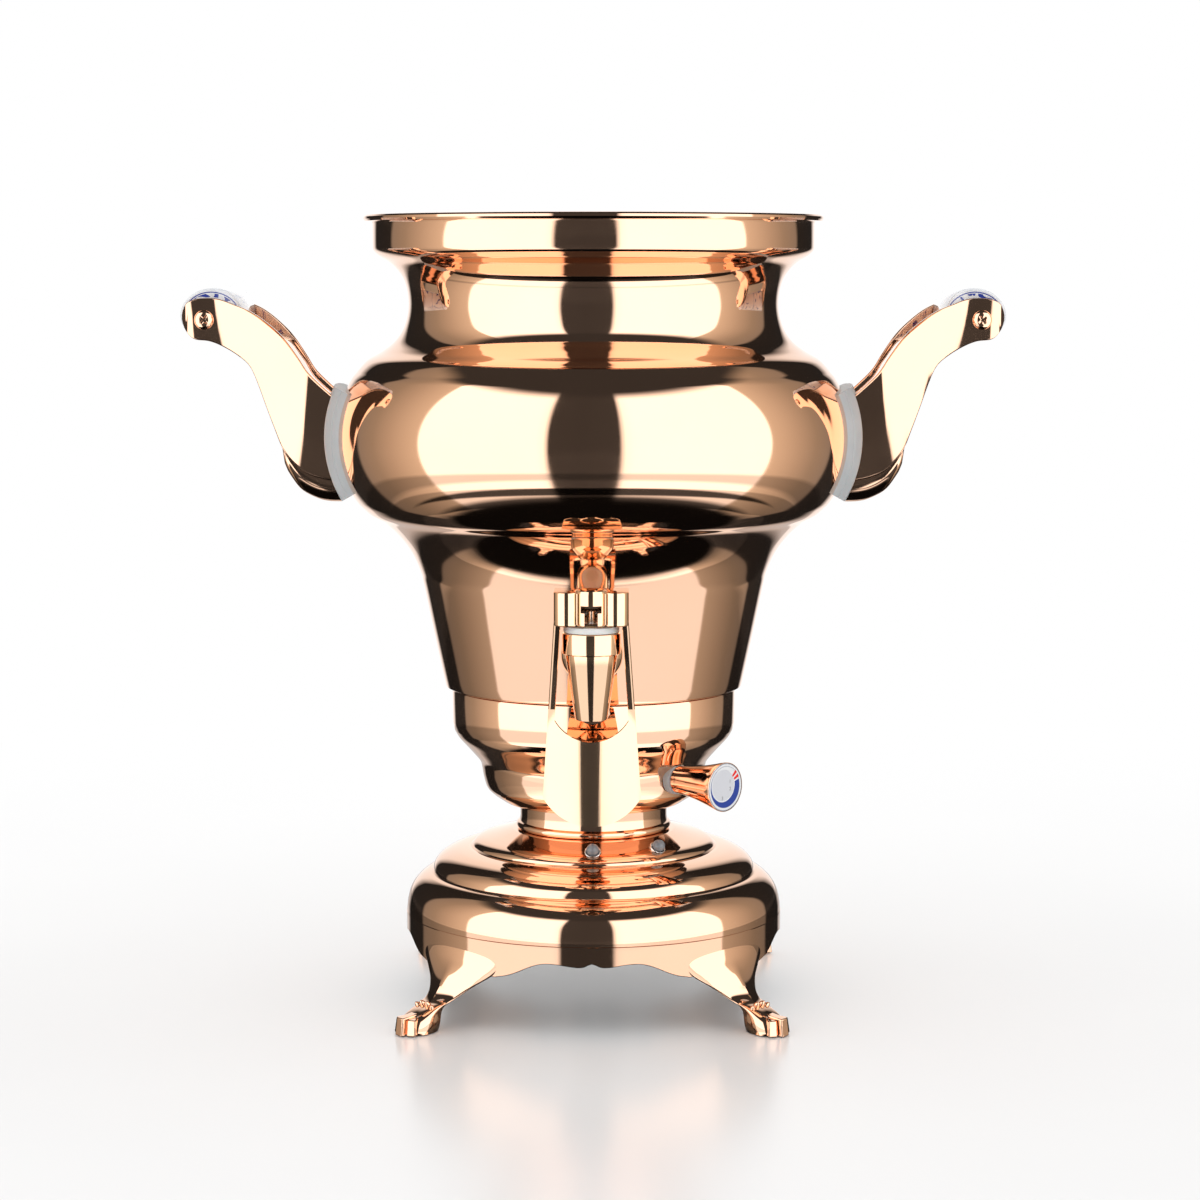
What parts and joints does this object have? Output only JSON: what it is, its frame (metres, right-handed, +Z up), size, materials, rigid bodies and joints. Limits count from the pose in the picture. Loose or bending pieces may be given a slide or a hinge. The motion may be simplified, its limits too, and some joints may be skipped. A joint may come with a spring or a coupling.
{
  "type": "electric samovar",
  "caption": "Copper electric samovar on a pedestal with paw feet, two handles with porcelain grips, a lever tap and a thermostat knob.",
  "frame": {"origin": "on the vessel's vertical axis at floor level, which is the bottom centre of the whole box", "axes": "+Z up, tap towards -Y, handles along +X and -X"},
  "size_m": [0.3314, 0.2136, 0.3237],
  "materials": {
    "copper": "polished copper",
    "tap_copper": "polished copper, slightly more golden",
    "steel": "plain stainless steel",
    "grey_silicone": "matt light grey",
    "white_silicone": "matt white",
    "black_rubber": "matt black",
    "porcelain": "white glaze with thin blue lines and a sprig",
    "dial_white": "white with a printed scale",
    "lamp_glass": "clear",
    "bezel_metal": "bright"
  },
  "bodies": {
    "root": {"vessel_shell": "copper", "heater_housing": "copper", "pedestal_neck": "copper", "base_dome": "copper", "foot_frame": "copper", "handle_left": "copper", "handle_right": "copper", "grip_bolt_left": "copper", "grip_bolt_right": "copper", "grip_nut_left": "copper", "grip_nut_right": "copper", "tap_body": "tap_copper", "bonnet_ring": "tap_copper", "tank_floor": "steel", "heat_spreader": "steel", "heating_element": "steel", "dry_boil_cutout": "steel", "bottom_plate": "steel", "bottom_screws": "steel", "tie_rod": "steel", "tie_washer": "steel", "tie_nut": "steel", "handle_bolts_left": "steel", "handle_bolts_right": "steel", "tap_nut": "steel", "thermostat_body": "steel", "floor_seal": "grey_silicone", "handle_pad_left": "grey_silicone", "handle_pad_right": "grey_silicone", "tap_seal": "grey_silicone", "thermostat_bush": "grey_silicone", "seat_cup": "white_silicone", "cord_gland": "black_rubber", "grip_left": "porcelain", "grip_right": "porcelain", "power_lamp_lens": "lamp_glass", "heat_lamp_lens": "lamp_glass", "power_lamp_bezel": "bezel_metal", "heat_lamp_bezel": "bezel_metal"},
    "tap_lever": {"tap_lever": "tap_copper"},
    "valve_stem": {"valve_stem": "steel", "valve_plug": "white_silicone", "stem_pin": "steel"},
    "thermostat_knob": {"thermostat_shaft": "steel", "thermostat_knob": "copper", "knob_dial": "dial_white"}
  },
  "joints": [
    {"name": "lever_rock", "type": "hinge", "parent": "root", "child": "tap_lever", "pos_m": [0, -0.1045, 0.1669], "axis": [1, 0, 0], "range_deg": [0, 12], "stiffness_Nm_per_rad": 0.05, "springref_deg": -17.19},
    {"name": "stem_lift", "type": "slide", "parent": "root", "child": "valve_stem", "axis": [0, 0, 1], "range_m": [0, 0.002]},
    {"name": "knob_turn", "type": "hinge", "parent": "root", "child": "thermostat_knob", "pos_m": [0, 0, 0.0958], "axis": [0.7071, -0.7071, 0], "range_deg": [0, 270]}
  ],
  "couplings": [
    {"joint": "stem_lift", "follows": "lever_rock", "m_per_rad": 0.0095}
  ]
}
